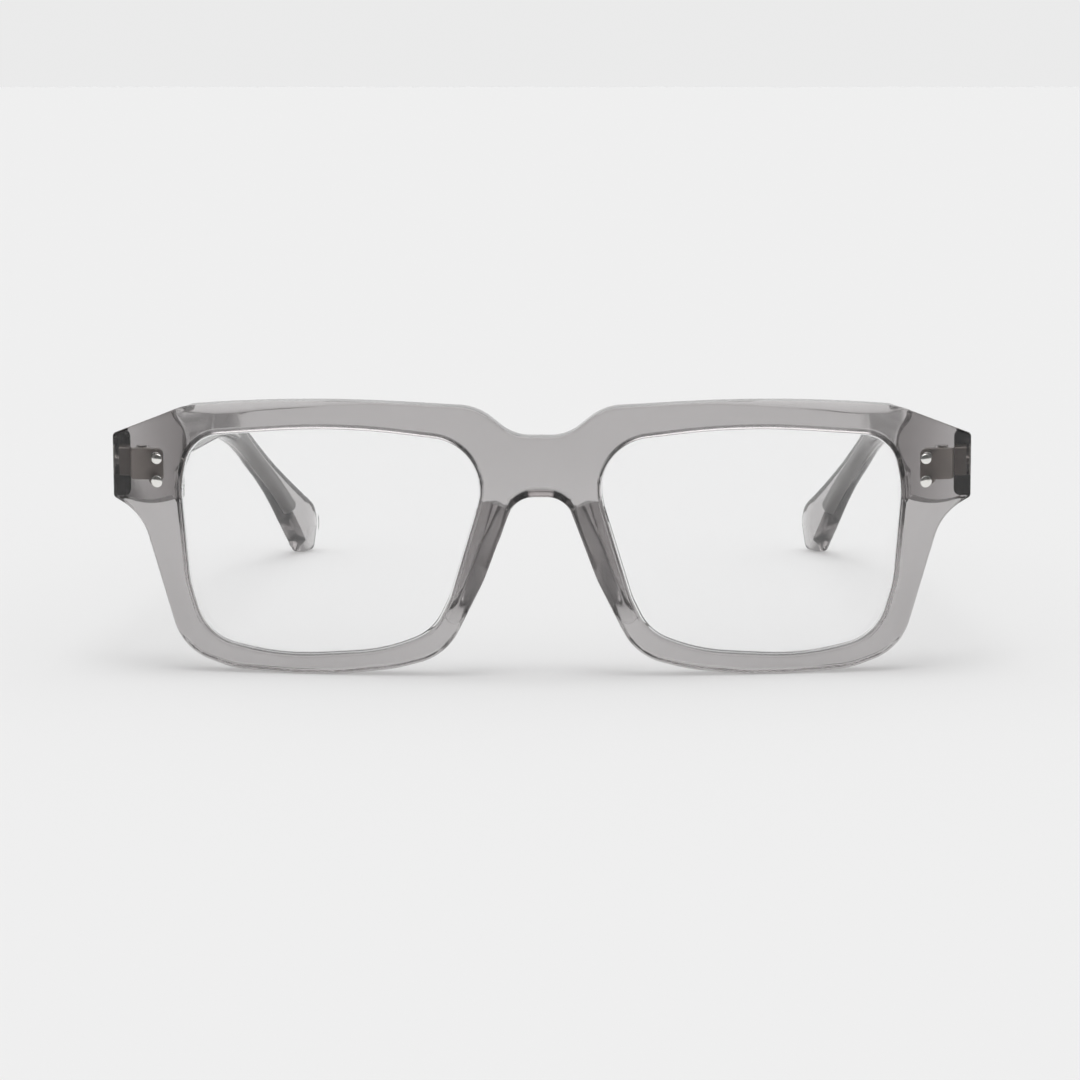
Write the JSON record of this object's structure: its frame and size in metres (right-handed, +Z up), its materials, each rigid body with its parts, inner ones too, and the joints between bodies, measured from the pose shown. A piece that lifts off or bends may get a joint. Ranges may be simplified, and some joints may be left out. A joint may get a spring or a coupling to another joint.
{
  "type": "eyeglasses",
  "caption": "Rectangular translucent grey acetate eyeglasses with clear lenses, solid nose pads, riveted barrel hinges and folding temples.",
  "frame": {"origin": "under the middle of the whole object, on the surface it stands on", "axes": "+X to the right seen from the front, +Y back along the temples, +Z up; the front faces -Y"},
  "size_m": [0.146, 0.1524, 0.0463],
  "materials": {
    "grey_acetate": "polished, translucent",
    "clear_lens": "clear, polished",
    "hinge_metal": "satin nickel silver",
    "core_wire": "drawn wire",
    "polished_fastener": "polished"
  },
  "bodies": {
    "front": {"front_frame": "grey_acetate", "lens_left": "clear_lens", "lens_right": "clear_lens", "nose_pad_left": "grey_acetate", "nose_pad_right": "grey_acetate", "front_hinge_left": "hinge_metal", "front_hinge_right": "hinge_metal", "hinge_screw_left": "polished_fastener", "hinge_screw_right": "polished_fastener", "front_rivet_upper_left": "polished_fastener", "front_rivet_lower_left": "polished_fastener", "front_rivet_upper_right": "polished_fastener", "front_rivet_lower_right": "polished_fastener"},
    "left_temple": {"temple_left": "grey_acetate", "core_wire_left": "core_wire", "temple_hinge_left": "hinge_metal", "temple_rivet_front_left": "polished_fastener", "temple_rivet_rear_left": "polished_fastener"},
    "right_temple": {"temple_right": "grey_acetate", "core_wire_right": "core_wire", "temple_hinge_right": "hinge_metal", "temple_rivet_front_right": "polished_fastener", "temple_rivet_rear_right": "polished_fastener"}
  },
  "joints": [
    {"name": "left_hinge", "type": "hinge", "parent": "front", "child": "left_temple", "pos_m": [-0.067, -0.0583, 0.03455], "axis": [0, 0, -1], "range_deg": [0, 77]},
    {"name": "right_hinge", "type": "hinge", "parent": "front", "child": "right_temple", "pos_m": [0.067, -0.0583, 0.03455], "axis": [0, 0, 1], "range_deg": [0, 85]}
  ]
}
